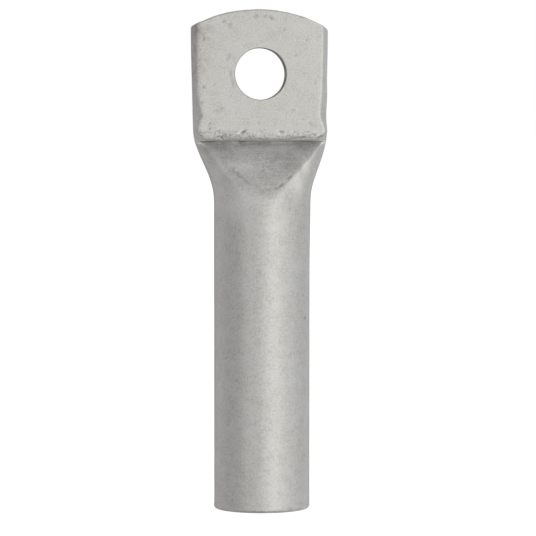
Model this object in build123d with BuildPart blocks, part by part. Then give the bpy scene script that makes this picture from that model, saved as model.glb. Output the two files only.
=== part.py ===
from build123d import *
import math
import os

# Aluminium cable lug, pressed from a length of round tube.
# The lower part stays a plain round barrel that takes the stripped conductor. The upper
# part is flattened into a bolting palm with a crowned end and one bolt hole. Between them
# a straight-sided V facet on the front and on the back carries the round wall to the palm,
# and on the front the palm stands out over its facet on a rounded lip.
# Millimetres. +Z runs up the barrel's axis from the centre of the open mouth, on which the
# lug stands. The lip faces -Y, and +X is to the right seen from there.

# Round barrel
barrel_diameter = 16.0
bore_diameter = 9.0
barrel_length = 51.5

# V facets, from the end of the round barrel up to the crease under the lip
facet_height = 9.75
facet_tip_width = 0.8
flare_height = 11.2

# Palm
palm_width = 22.75
palm_length = 21.75
palm_thickness = 6.5
palm_forward = 0.65
palm_taper = 0.3
palm_offset = -0.42
crown_radius = 22.5
crown_offset = -0.33

# Step from the front facet out to the palm
lip_depth = 1.3
lip_height = 1.75

# How far the palm's narrow sides bulge past its flat faces, from the crease upwards
crease_bulge = 1.7
lip_bulge = 0.5
waist_bulge = 1.3
side_bulge = 1.0
waist_height = 4.6

# Bolt hole
hole_diameter = 8.5
hole_to_crown = 10.5

# Seam where the flattened tube's inner faces meet
seam_gap = 0.12
seam_depth = 0.25

# Broken edges
mouth_outer_radius = 0.55
mouth_inner_chamfer = 0.3
hole_chamfer = 0.1
palm_edge_radius = 0.25

# Largest height between the sections that each loft is drawn through
facet_section_spacing = 1.0
palm_section_spacing = 0.8

# Sizes worked out from those above
barrel_radius = barrel_diameter / 2
bore_radius = bore_diameter / 2
wall = barrel_radius - bore_radius
crease_z = barrel_length + facet_height
lip_top_z = crease_z + lip_height
waist_z = crease_z + waist_height
top_z = crease_z + palm_length
hole_z = top_z - hole_to_crown
palm_mid = -palm_forward
palm_front = palm_mid - palm_thickness / 2
palm_back = palm_mid + palm_thickness / 2
facet_front = palm_front + lip_depth
facet_angle = math.atan2(barrel_radius + facet_front, facet_height)
bore_depth = barrel_length - wall * math.tan(facet_angle / 2)
seam_foot_z = bore_depth + bore_radius / math.tan(facet_angle)
seam_half_width = math.pi * bore_diameter / 4
crown_drop = crown_radius - math.sqrt(crown_radius**2 - (palm_width / 2) ** 2)
facet_sections = math.ceil(facet_height / facet_section_spacing) + 1
palm_sections = math.ceil(palm_length / palm_section_spacing) + 1


def eased(share):
    """Rises from 0 to 1 with no slope at either end."""
    share = min(max(share, 0.0), 1.0)
    return share * share * (3 - 2 * share)


def half_width(z):
    """Half the width over the sides at height z."""
    narrow = palm_width / 2 - palm_taper
    flared = barrel_radius + (narrow - barrel_radius) * eased((z - barrel_length) / flare_height)
    return flared + palm_taper * eased((z - crease_z) / (top_z - crease_z - crown_drop))


def sideways(z):
    """How far the section's middle lies to one side at height z."""
    start_z = barrel_length + facet_height / 3
    return palm_offset * eased((z - start_z) / (waist_z - start_z))


def between(low, high, share):
    """Goes from one value to another with no slope at either end."""
    return low + (high - low) * eased(share)


def front_bulge(z):
    """Bulge to the palm's front face: round at the crease, spread at the lip, then waisted."""
    if z < lip_top_z:
        return between(crease_bulge, lip_bulge, (z - crease_z) / lip_height)
    if z < waist_z:
        return between(lip_bulge, waist_bulge, (z - lip_top_z) / (waist_z - lip_top_z))
    return between(waist_bulge, side_bulge, (z - waist_z) / (hole_z - waist_z))


def back_bulge(z):
    """Bulge to the palm's back face, which has no lip."""
    return between(crease_bulge, side_bulge, (z - crease_z) / (hole_z - crease_z))


def crease_half_width():
    """Half the crease's length, where the facet's depth meets the crease's side arc."""
    half_thickness = palm_thickness / 2
    radius = (crease_bulge**2 + half_thickness**2) / (2 * crease_bulge)
    return half_width(crease_z) - radius + math.sqrt(radius**2 - (facet_front - palm_mid) ** 2)


def flattened(z, front, back, front_half, back_half, widest, middle, shift):
    """A section with a straight front and back and an arc for each side."""
    with BuildSketch(Plane.XY.offset(z)) as section:
        with BuildLine():
            Line((shift - front_half, front), (shift + front_half, front))
            ThreePointArc(
                (shift + front_half, front), (shift + widest, middle), (shift + back_half, back)
            )
            Line((shift + back_half, back), (shift - back_half, back))
            ThreePointArc(
                (shift - back_half, back), (shift - widest, middle), (shift - front_half, front)
            )
        make_face()
    return section.sketch


def outer_section(share):
    """Outside of the transition, from the round barrel at 0 to the crease at 1."""
    z = barrel_length + facet_height * share
    tip_half = facet_tip_width / 2
    tip_y = math.sqrt(barrel_radius**2 - tip_half**2)
    front = -tip_y + (facet_front + tip_y) * share
    back = tip_y + (palm_back - tip_y) * share
    front_half = tip_half + (crease_half_width() - tip_half) * share
    back_half = tip_half + (half_width(crease_z) - crease_bulge - tip_half) * share
    return flattened(
        z, front, back, front_half, back_half, half_width(z), palm_mid * share, sideways(z)
    )


def palm_section(share):
    """Sides of the palm, carried on past its flat faces to be cut off there."""
    z = crease_z + palm_length * share
    shift = sideways(z)
    front_half = half_width(z) - front_bulge(z)
    back_half = half_width(z) - back_bulge(z)
    spare = palm_thickness / 10
    with BuildSketch(Plane.XY.offset(z)) as section:
        with BuildLine():
            for side in (1, -1):
                Polyline(
                    (shift, palm_front - spare),
                    (shift + side * (front_half - spare), palm_front - spare),
                    (shift + side * front_half, palm_front),
                )
                ThreePointArc(
                    (shift + side * front_half, palm_front),
                    (shift + side * half_width(z), palm_mid),
                    (shift + side * back_half, palm_back),
                )
                Polyline(
                    (shift + side * back_half, palm_back),
                    (shift + side * (back_half - spare), palm_back + spare),
                    (shift, palm_back + spare),
                )
        make_face()
    return section.sketch


def bore_section(share):
    """The bore's end, from round at 0 to where its walls meet at 1."""
    z = bore_depth + (seam_foot_z - bore_depth) * share
    seam_y = (facet_front + palm_back) / 2
    tip_half = facet_tip_width / 2
    tip_y = math.sqrt(bore_radius**2 - tip_half**2)
    front = -tip_y + (seam_y - seam_gap / 2 + tip_y) * share
    back = tip_y + (seam_y + seam_gap / 2 - tip_y) * share
    half = tip_half + (seam_half_width - seam_gap / 2 - tip_half) * share
    widest = bore_radius + (seam_half_width - bore_radius) * eased(share)
    return flattened(z, front, back, half, half, widest, seam_y * share, sideways(z))


def stack(section, count):
    """Evenly spaced sections from share 0 to share 1, to be lofted."""
    return [section(step / (count - 1)) for step in range(count)]


# Palm: bulged sides, flat front and back, lip at its foot, crowned end
with BuildPart() as palm:
    loft(stack(palm_section, palm_sections))
    with BuildSketch(Plane.YZ):
        with BuildLine():
            Polyline(
                (facet_front, crease_z),
                (palm_back, crease_z),
                (palm_back, top_z),
                (palm_front, top_z),
                (palm_front, lip_top_z),
            )
            TangentArc((palm_front, lip_top_z), (facet_front, crease_z), tangent=(0, -1))
        make_face()
    extrude(amount=palm_width, both=True, mode=Mode.INTERSECT)
    with BuildSketch(Plane.XZ):
        with Locations((palm_offset + crown_offset, top_z - crown_radius)):
            Circle(crown_radius)
    extrude(amount=palm_width, both=True, mode=Mode.INTERSECT)

    # The crown's two corners and the edges all round both flat faces
    corners = palm.edges().filter_by(lambda edge: edge.geom_type != GeomType.CIRCLE)
    corners = corners.filter_by(lambda edge: edge.center().Z > hole_z)
    corners = corners.filter_by(lambda edge: abs(edge.center().Y - palm_mid) < palm_thickness / 4)
    rims = palm.faces().filter_by(Axis.Y).edges()
    rims = rims.filter_by(lambda edge: edge.center().Z > lip_top_z + palm_edge_radius)
    fillet(corners + rims, palm_edge_radius)

# The whole lug
with BuildPart() as cable_lug:
    with BuildSketch():
        Circle(barrel_radius)
    extrude(amount=barrel_length)
    loft(stack(outer_section, facet_sections))
    add(palm.part)

    # Bore, round first and then closing to the foot of the seam
    with BuildSketch():
        Circle(bore_radius)
    extrude(amount=bore_depth, mode=Mode.SUBTRACT)
    loft(stack(bore_section, facet_sections), mode=Mode.SUBTRACT)

    # Bolt hole
    with BuildSketch(Plane.XZ):
        with Locations((palm_offset, hole_z)):
            Circle(hole_diameter / 2)
    extrude(amount=palm_width, both=True, mode=Mode.SUBTRACT)
    hole_rims = cable_lug.edges().filter_by(GeomType.CIRCLE)
    hole_rims = hole_rims.filter_by(lambda edge: abs(edge.radius - hole_diameter / 2) < 0.001)
    chamfer(hole_rims, hole_chamfer)

    # Seam where the tube's walls were pressed together, seen in the hole and on the crown
    with BuildSketch(Plane.XZ.offset(-palm_mid)):
        with Locations((palm_offset, hole_z)):
            Circle(hole_diameter / 2 + seam_depth)
        with BuildSketch(mode=Mode.PRIVATE) as crown_seam:
            with Locations((palm_offset + crown_offset, top_z - crown_radius)):
                Circle(crown_radius)
                Circle(crown_radius - seam_depth, mode=Mode.SUBTRACT)
            with Locations((palm_offset, top_z)):
                Rectangle(2 * seam_half_width, palm_length, mode=Mode.INTERSECT)
        add(crown_seam.sketch)
    extrude(amount=seam_gap / 2, both=True, mode=Mode.SUBTRACT)

    # Broken edges at the mouth
    mouth = cable_lug.edges().filter_by(GeomType.CIRCLE).group_by(Axis.Z)[0]
    fillet(mouth.sort_by(SortBy.RADIUS)[-1], mouth_outer_radius)
    mouth = cable_lug.edges().filter_by(GeomType.CIRCLE).group_by(Axis.Z)[0]
    chamfer(mouth.sort_by(SortBy.RADIUS)[0], mouth_inner_chamfer)

cable_lug.part.label = "cable_lug"
os.makedirs("parts", exist_ok=True)
export_step(cable_lug.part, "parts/cable_lug.step")
print(cable_lug.part.volume, cable_lug.part.bounding_box(), len(cable_lug.part.solids()), cable_lug.part.is_valid)
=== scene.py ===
import math

import bmesh
import bpy
import numpy as np
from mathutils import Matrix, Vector


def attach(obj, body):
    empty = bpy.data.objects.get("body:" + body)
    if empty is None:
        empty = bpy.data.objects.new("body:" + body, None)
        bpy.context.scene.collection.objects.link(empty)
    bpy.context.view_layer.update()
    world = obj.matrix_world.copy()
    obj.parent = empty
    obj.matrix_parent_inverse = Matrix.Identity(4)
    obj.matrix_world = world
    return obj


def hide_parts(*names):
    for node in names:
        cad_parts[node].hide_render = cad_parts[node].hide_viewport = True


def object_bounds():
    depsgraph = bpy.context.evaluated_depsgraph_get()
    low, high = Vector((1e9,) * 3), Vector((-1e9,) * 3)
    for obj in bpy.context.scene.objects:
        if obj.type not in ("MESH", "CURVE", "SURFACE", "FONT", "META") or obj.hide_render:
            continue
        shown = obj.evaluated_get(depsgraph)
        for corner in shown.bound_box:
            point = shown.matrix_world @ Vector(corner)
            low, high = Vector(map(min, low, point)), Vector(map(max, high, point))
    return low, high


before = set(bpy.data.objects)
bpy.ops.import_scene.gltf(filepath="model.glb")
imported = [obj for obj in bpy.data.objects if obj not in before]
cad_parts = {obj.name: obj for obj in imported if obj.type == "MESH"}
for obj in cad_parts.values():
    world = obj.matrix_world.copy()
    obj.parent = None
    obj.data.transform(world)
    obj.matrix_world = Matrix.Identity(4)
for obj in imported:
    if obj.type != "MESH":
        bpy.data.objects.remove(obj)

cad_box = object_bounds()

# Sizes in millimetres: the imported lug's own, from which the skin is drawn again with more detail
MM = 0.001
BARREL_RADIUS = 8.0
BORE_RADIUS = 4.5
BARREL_LENGTH = 51.5
FACET_HEIGHT = 9.75
FACET_TIP_WIDTH = 0.8
FLARE_HEIGHT = 11.2
PALM_WIDTH = 22.75
PALM_LENGTH = 21.75
PALM_THICKNESS = 6.5
PALM_FORWARD = 0.65
PALM_TAPER = 0.3
PALM_OFFSET = -0.42
CROWN_RADIUS = 22.5
CROWN_OFFSET = -0.33
LIP_DEPTH = 1.3
LIP_HEIGHT = 1.75
CREASE_BULGE = 1.7
LIP_BULGE = 0.5
WAIST_BULGE = 1.3
SIDE_BULGE = 1.0
WAIST_HEIGHT = 4.6
HOLE_RADIUS = 4.25
HOLE_TO_CROWN = 10.5
SEAM_GAP = 0.12
SEAM_DEPTH = 0.25
MOUTH_OUTER_RADIUS = 0.55
MOUTH_INNER_CHAMFER = 0.3
PALM_EDGE_RADIUS = 0.25

# Finer forms that the press leaves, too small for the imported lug
FACET_BOW = 0.2
FACET_BLUNT_WIDTH = 3.2
FACET_BLUNT_HEIGHT = 1.4
# The right side is fuller at the shoulder and over the waist: height, reach and swell
RIGHT_SWELLS = ((51.0, 6.5, 0.15), (68.6, 1.9, 0.1))
# The left narrow side is pressed flatter from a height up, most of all at one place
LEFT_FLAT_Z = 65.6
LEFT_FLAT_RISE = 2.2
LEFT_FLAT = 0.3
LEFT_FLATTEST_Z = 69.4
LEFT_FLATTEST_REACH = 1.3
LEFT_FLATTEST = 0.13
# The lip from the crease up: height over the crease, and depth behind the palm's face
LIP_PROFILE = (
    (0.0, 1.3), (0.02, 0.95), (0.05, 0.66), (0.09, 0.48), (0.15, 0.39), (0.25, 0.335),
    (0.4, 0.275), (0.6, 0.2), (0.82, 0.135), (1.06, 0.08), (1.4, 0.025), (1.75, 0.0),
)
LIP_MIDDLE = 0.7
LIP_REACH = 1.2
LIP_WAVER_HIGH = 0.05
LIP_WAVER_DEEP = 0.035

# Finer forms that the shear and the punch leave
CROWN_SWELLS = ((-7.6, 2.2, 0.1), (-11.0, 1.0, 0.12))
CROWN_WAVER = 0.03
CROWN_SHORT = 0.02
HOLE_ROLL = 0.07
HOLE_LOWER = 0.14
HOLE_BREAKOUT = 0.19
HOLE_WAVER = 0.004

# Levels and depths that follow from them
CREASE_Z = BARREL_LENGTH + FACET_HEIGHT
LIP_TOP_Z = CREASE_Z + LIP_HEIGHT
WAIST_Z = CREASE_Z + WAIST_HEIGHT
TOP_Z = CREASE_Z + PALM_LENGTH
HOLE_Z = TOP_Z - HOLE_TO_CROWN
PALM_FRONT = -PALM_FORWARD - PALM_THICKNESS / 2
PALM_BACK = -PALM_FORWARD + PALM_THICKNESS / 2
FACET_FRONT = PALM_FRONT + LIP_DEPTH
FACET_ANGLE = math.atan2(BARREL_RADIUS + FACET_FRONT, FACET_HEIGHT)
BORE_DEPTH = BARREL_LENGTH - (BARREL_RADIUS - BORE_RADIUS) * math.tan(FACET_ANGLE / 2)
SEAM_FOOT_Z = BORE_DEPTH + BORE_RADIUS / math.tan(FACET_ANGLE)
SEAM_HALF_WIDTH = math.pi * BORE_RADIUS / 2
CROWN_DROP = CROWN_RADIUS - math.sqrt(CROWN_RADIUS**2 - (PALM_WIDTH / 2) ** 2)
CROWN_X = PALM_OFFSET + CROWN_OFFSET

# Points round the skin: two flat faces, two narrow sides and four corners
SIDE_STEPS = 20
CORNER_STEPS = 6
FACE_STEPS = 96
HALF_RING = FACE_STEPS + 2 * CORNER_STEPS + SIDE_STEPS
RING = 2 * HALF_RING
SAMPLES = 1024
ARC_STEPS = 160
BORE_ARC_STEPS = 80
CORNER_SPREAD = 0.34

# Rows of points up the skin, closest together where the crease is sharp
BORE_END_ROWS = 13
BORE_ROWS = 9
SAWN_ROWS = 8
MOUTH_BEND_ROWS = 7
BARREL_ROWS = 112
FACET_ROWS = 75
BARREL_ROWS_END = BARREL_LENGTH - 2.5
FACET_ROWS_END = -0.16
CREASE_ROWS = (
    -0.08, -0.03, 0.0, 0.02, 0.05, 0.09, 0.15, 0.25, 0.4, 0.6, 0.82, 1.06, 1.3, 1.52, 1.75,
)
PALM_ROWS = 92
PALM_SECTIONS = 160
CROWN_BEND_ROWS = 6
HOLE_BLOCK = 27
HOLE_FAN_ROWS = 10
HOLE_BEND_ROWS = 5
HOLE_FRONT_ROWS = 7
HOLE_BACK_ROWS = 8


def eased(share):
    """Rises from 0 to 1 with no slope at either end."""
    share = np.clip(share, 0.0, 1.0)
    return share * share * (3 - 2 * share)


def between(low, high, share):
    """From low to high, eased, as share goes from 0 to 1."""
    return low + (high - low) * eased(share)


def bell(at, middle, reach):
    """1 at the middle, falling smoothly on both sides to about a third at that reach."""
    return np.exp(-(((at - middle) / reach) ** 2))


def ripple(along, seed, longest, count=7):
    """An uneven line of about -1 to 1, from waves of the longest length down."""
    draw = np.random.default_rng(seed)
    total = np.zeros_like(np.asarray(along, dtype=float))
    for i in range(count):
        length = longest / 1.55**i
        total += np.sin(2 * np.pi * along / length + draw.uniform(0, 2 * np.pi)) * 0.72**i
    return total / 1.9


def half_width(z):
    """Half of the lug's width at height z."""
    narrow = PALM_WIDTH / 2 - PALM_TAPER
    flared = between(BARREL_RADIUS, narrow, (z - BARREL_LENGTH) / FLARE_HEIGHT)
    return flared + PALM_TAPER * eased((z - CREASE_Z) / (TOP_Z - CREASE_Z - CROWN_DROP))


def sideways(z):
    """How far the lug's middle lies to the side of the barrel's axis at height z."""
    start_z = BARREL_LENGTH + FACET_HEIGHT / 3
    return PALM_OFFSET * eased((z - start_z) / (WAIST_Z - start_z))


def front_bulge(z):
    """Bulge of the narrow sides past the front face."""
    if z < LIP_TOP_Z:
        return between(CREASE_BULGE, LIP_BULGE, (z - CREASE_Z) / LIP_HEIGHT)
    if z < WAIST_Z:
        return between(LIP_BULGE, WAIST_BULGE, (z - LIP_TOP_Z) / (WAIST_Z - LIP_TOP_Z))
    return between(WAIST_BULGE, SIDE_BULGE, (z - WAIST_Z) / (HOLE_Z - WAIST_Z))


def back_bulge(z):
    """Bulge of the narrow sides past the back face."""
    return between(CREASE_BULGE, SIDE_BULGE, (z - CREASE_Z) / (HOLE_Z - CREASE_Z))


def lip_front(z):
    """Depth of the front between the crease and the top of the lip."""
    heights, depths = zip(*LIP_PROFILE)
    return PALM_FRONT + np.interp(z - CREASE_Z, heights, depths)


def crown_z(x):
    """Height of the crowned end at x, fuller on the left, with the waver of a sheared edge."""
    height = TOP_Z - CROWN_RADIUS + np.sqrt(CROWN_RADIUS**2 - (x - CROWN_X) ** 2) - CROWN_SHORT
    for middle, reach, swell in CROWN_SWELLS:
        height = height + swell * bell(x, middle, reach)
    return height + CROWN_WAVER * ripple(x, 11, 6.0)


def circle_through(a, b, c):
    """Centre of the circle through three points."""
    (ax, ay), (bx, by), (cx, cy) = a, b, c
    d = 2 * (ax * (by - cy) + bx * (cy - ay) + cx * (ay - by))
    a2, b2, c2 = ax * ax + ay * ay, bx * bx + by * by, cx * cx + cy * cy
    return (
        (a2 * (by - cy) + b2 * (cy - ay) + c2 * (ay - by)) / d,
        (a2 * (cx - bx) + b2 * (ax - cx) + c2 * (bx - ax)) / d,
    )


def corner_inset(depth, bulge):
    """How far in from the widest point the side's arc lies, at a depth from the palm's middle."""
    half = PALM_THICKNESS / 2
    radius = (bulge**2 + half**2) / (2 * bulge)
    return radius - math.sqrt(max(radius**2 - depth**2, 0.0))


def outline(z):
    """Front and back depth, their half widths, the widest half width and its depth, at height z."""
    wide = half_width(z)
    if z < CREASE_Z:
        share = max(0.0, (z - BARREL_LENGTH) / FACET_HEIGHT)
        bowed = share + FACET_BOW * (share**2 - share)
        blunt = (z - BARREL_LENGTH + FACET_BLUNT_HEIGHT) / FACET_BLUNT_HEIGHT
        tip = between(FACET_TIP_WIDTH, FACET_BLUNT_WIDTH, blunt) / 2
        tip_y = math.sqrt(BARREL_RADIUS**2 - tip**2)
        front = -tip_y + (FACET_FRONT + tip_y) * bowed
        back = tip_y + (PALM_BACK - tip_y) * bowed
        crease_wide = half_width(CREASE_Z)
        crease_half = crease_wide - corner_inset(FACET_FRONT + PALM_FORWARD, CREASE_BULGE)
        front_half = tip + (crease_half - tip) * share
        back_half = tip + (crease_wide - CREASE_BULGE - tip) * share
        return front, back, front_half, back_half, wide, -PALM_FORWARD * share
    front = lip_front(z) if z < LIP_TOP_Z else PALM_FRONT
    front_half = wide - corner_inset(front + PALM_FORWARD, front_bulge(z))
    return front, PALM_BACK, front_half, wide - back_bulge(z), wide, -PALM_FORWARD


def closed_loop(front, back, front_half, back_half, wide, middle, steps):
    """A section's outline from the middle of its front, round by +X and back again."""
    cx, cy = circle_through((front_half, front), (wide, middle), (back_half, back))
    radius = math.hypot(wide - cx, middle - cy)
    start = math.atan2(front - cy, front_half - cx)
    stop = math.atan2(back - cy, back_half - cx)
    turn = np.linspace(start, stop, steps)
    side = np.column_stack((cx + radius * np.cos(turn), cy + radius * np.sin(turn)))
    right = np.vstack(((0.0, front), side, (0.0, back)))
    left = right[-2:0:-1] * (-1, 1)
    loop = np.vstack((right, left, right[:1]))
    run = np.concatenate(([0.0], np.cumsum(np.hypot(*np.diff(loop, axis=0).T))))
    return loop, run


def ring(z, aligned, soft_left, soft_right):
    """RING points round the outside at height z, from the middle of the front towards +X.

    aligned is 1 where the points keep to the section's corners and 0 where they lie evenly.
    The soft values say how far the corners on each side are rounded.
    """
    front, back, front_half, back_half, wide, middle = outline(z)
    loop, run = closed_loop(front, back, front_half, back_half, wide, middle, ARC_STEPS)
    length = run[-1]
    even = np.linspace(0, length, SAMPLES, endpoint=False)
    sharp = np.interp(even, run, loop[:, 0]) + 1j * np.interp(even, run, loop[:, 1])
    wave = 2 * np.pi * np.fft.fftfreq(SAMPLES, 1 / SAMPLES) / length
    spectrum = np.fft.fft(sharp)
    left = np.fft.ifft(spectrum * np.exp(-0.5 * (wave * soft_left) ** 2))
    right = np.fft.ifft(spectrum * np.exp(-0.5 * (wave * soft_right) ** 2))
    share_right = eased(sharp.real / wide / 2 + 0.5)
    curve = left * (1 - share_right) + right * share_right
    first = front_half / length
    second = 0.5 - back_half / length
    spread = CORNER_SPREAD / length
    marks = [0.0, first - spread, first + spread, second - spread, second + spread, 0.5]
    steps = np.cumsum([0, FACE_STEPS / 2, CORNER_STEPS, SIDE_STEPS, CORNER_STEPS, FACE_STEPS / 2])
    index = np.arange(HALF_RING + 1)
    kept = np.interp(index, steps, marks)
    share = aligned * kept + (1 - aligned) * index / RING
    share = np.concatenate((share, 1 - share[-2:0:-1]))
    curve = np.append(curve, curve[0])
    places = np.linspace(0, 1, SAMPLES + 1)
    x = np.interp(share, places, curve.real)
    y = np.interp(share, places, curve.imag)
    x = uneven_sides(x, y < middle, z, wide)
    return np.column_stack((x + sideways(z), y))


def uneven_sides(x, in_front, z, wide):
    """The section's x with its right side swelled out and its left one pressed flatter."""
    # Each change is full at its own side and fades out before the middle
    swell = sum(height * bell(z, middle, reach) for middle, reach, height in RIGHT_SWELLS)
    x = x + swell * eased((x / wide - 0.55) / 0.4)
    flatter = LEFT_FLAT * eased((z - LEFT_FLAT_Z) / LEFT_FLAT_RISE)
    flatter += LEFT_FLATTEST * bell(z, LEFT_FLATTEST_Z, LEFT_FLATTEST_REACH)
    inset = np.clip(x + wide, 0.0, front_bulge(z)) * eased((-x - 6.0) / 3.5)
    return np.where(in_front, x - flatter * inset, x)


def bore_ring(z, share):
    """RING points round the bore's end, from round at share 0 to where its walls meet at 1."""
    tip = FACET_TIP_WIDTH / 2
    tip_y = math.sqrt(BORE_RADIUS**2 - tip**2)
    seam_y = (FACET_FRONT + PALM_BACK) / 2
    gap = SEAM_GAP / 2
    front = -tip_y + (seam_y - gap + tip_y) * share
    back = tip_y + (seam_y + gap - tip_y) * share
    half = tip + (SEAM_HALF_WIDTH - gap - tip) * share
    wide = between(BORE_RADIUS, SEAM_HALF_WIDTH, share)
    loop, run = closed_loop(front, back, half, half, wide, seam_y * share, BORE_ARC_STEPS)
    even = np.arange(RING) / RING * run[-1]
    x = np.interp(even, run, loop[:, 0]) + sideways(z)
    return np.column_stack((x, np.interp(even, run, loop[:, 1]), np.full(RING, z)))


def on_front(y):
    """1 over the lug's front half, falling to 0 towards its sides."""
    return eased((-y - 1.5) / 1.0)


class Skin:
    """Points, quads and surface kinds collected for one mesh."""

    OUTSIDE, BORE, SAWN, PUNCHED = range(4)

    def __init__(self):
        self.points = []
        self.faces = []
        self.kinds = []

    def add(self, points, kind=0):
        """Adds a row of points and returns their numbers."""
        start = len(self.points)
        self.points.extend(tuple(map(float, p)) for p in points)
        self.kinds.extend([kind] * len(points))
        return list(range(start, len(self.points)))

    def join(self, low, high, closed=True, skip=()):
        """Quads between two rows of as many points."""
        for i in range(len(low) if closed else len(low) - 1):
            j = (i + 1) % len(low)
            if i not in skip:
                self.faces.append((low[i], low[j], high[j], high[i]))


def averaged(rings, levels, reach):
    """Each ring averaged with those within reach of it; reach is given for each level."""
    away = (levels[:, None] - levels[None, :]) / reach[:, None]
    share = np.exp(-0.5 * away**2) * np.gradient(levels)[None, :]
    share /= share.sum(axis=1, keepdims=True)
    result = np.tensordot(share, rings, axes=1)
    # Rows near an end of the stack have neighbours on one side only, so they are left alone
    keep = np.abs(share @ levels - levels) > 0.02
    result[keep] = rings[keep]
    return result


def softened_rows(levels):
    """Rings of the barrel, facets and lip, with the bends across them eased over nearby rows."""
    rings = []
    for z in levels:
        below = CREASE_Z - z
        aligned = float(eased((5 - below) / 4.7))
        # The folds sharpen on both sides towards the crease
        near = float(eased((6 - below) / 5.8))
        end = float(eased((1.6 - below) / 1.5))
        rings.append(ring(z, aligned, 1.0 - 0.2 * near - 0.5 * end, 0.36 - 0.16 * near))
    rings = np.array(rings)
    reach = between(0.8, 0.05, (levels - BARREL_LENGTH) / (FACET_HEIGHT - 3.0))
    # The crease is sharp on the front only; on the back the tube bends over a small radius
    front = averaged(rings, levels, np.where(levels > CREASE_Z - 1.2, 0.004, reach))
    back = averaged(rings, levels, np.maximum(reach, 0.45))
    share = eased(rings[:, :, 1:] / 2.0)
    return front * (1 - share) + back * share


def build_skin():
    """The lug's whole surface as one closed mesh of quads, in millimetres."""
    skin = Skin()
    turn = np.arange(RING) / RING * 2 * np.pi - np.pi / 2
    around = np.column_stack((np.cos(turn), np.sin(turn)))

    def circle_row(radius, z, kind):
        return skin.add(np.column_stack((around * radius, np.full(RING, z))), kind)

    # Bore from its closed end down to the mouth, then over the sawn end
    rows = []
    for share in np.linspace(1, 0, BORE_END_ROWS):
        z = BORE_DEPTH + (SEAM_FOOT_Z - BORE_DEPTH) * share
        rows.append(skin.add(bore_ring(z, share), Skin.BORE))
    end = rows[0]
    for z in np.linspace(BORE_DEPTH, MOUTH_INNER_CHAMFER, BORE_ROWS)[1:]:
        rows.append(circle_row(BORE_RADIUS, z, Skin.BORE))
    inner = BORE_RADIUS + MOUTH_INNER_CHAMFER
    outer = BARREL_RADIUS - MOUTH_OUTER_RADIUS
    for radius in np.linspace(inner, outer, SAWN_ROWS):
        rows.append(circle_row(radius, 0.0, Skin.SAWN))
    for bend in np.linspace(0, np.pi / 2, MOUTH_BEND_ROWS)[1:]:
        radius = outer + MOUTH_OUTER_RADIUS * math.sin(bend)
        rows.append(circle_row(radius, MOUTH_OUTER_RADIUS * (1 - math.cos(bend)), Skin.OUTSIDE))

    # Barrel, V facets and lip
    levels = np.concatenate((
        np.linspace(MOUTH_OUTER_RADIUS, BARREL_ROWS_END, BARREL_ROWS)[1:],
        np.linspace(BARREL_ROWS_END, CREASE_Z + FACET_ROWS_END, FACET_ROWS)[1:],
        CREASE_Z + np.array(CREASE_ROWS),
    ))
    for z, section in zip(levels, softened_rows(levels)):
        # The edge of the lip and the crease under it aren't dead straight
        lip = bell(z, CREASE_Z + LIP_MIDDLE, LIP_REACH) * on_front(section[:, 1])
        heights = z + LIP_WAVER_HIGH * lip * ripple(section[:, 0], 5, 9.0)
        section[:, 1] += LIP_WAVER_DEEP * lip * ripple(section[:, 0], 6, 5.0)
        rows.append(skin.add(np.column_stack((section, heights))))
    for low, high in zip(rows, rows[1:]):
        skin.join(low, high)

    # The bore's closed end: front and back of the seam's foot are joined across
    for i in range(HALF_RING):
        corners = (end[(i + 1) % RING], end[i], end[(RING - i) % RING], end[RING - i - 1])
        face = tuple(p for k, p in enumerate(corners) if p not in corners[:k])
        if len(face) > 2:
            skin.faces.append(face)
    build_palm(skin, rows[-1])
    return skin


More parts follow.
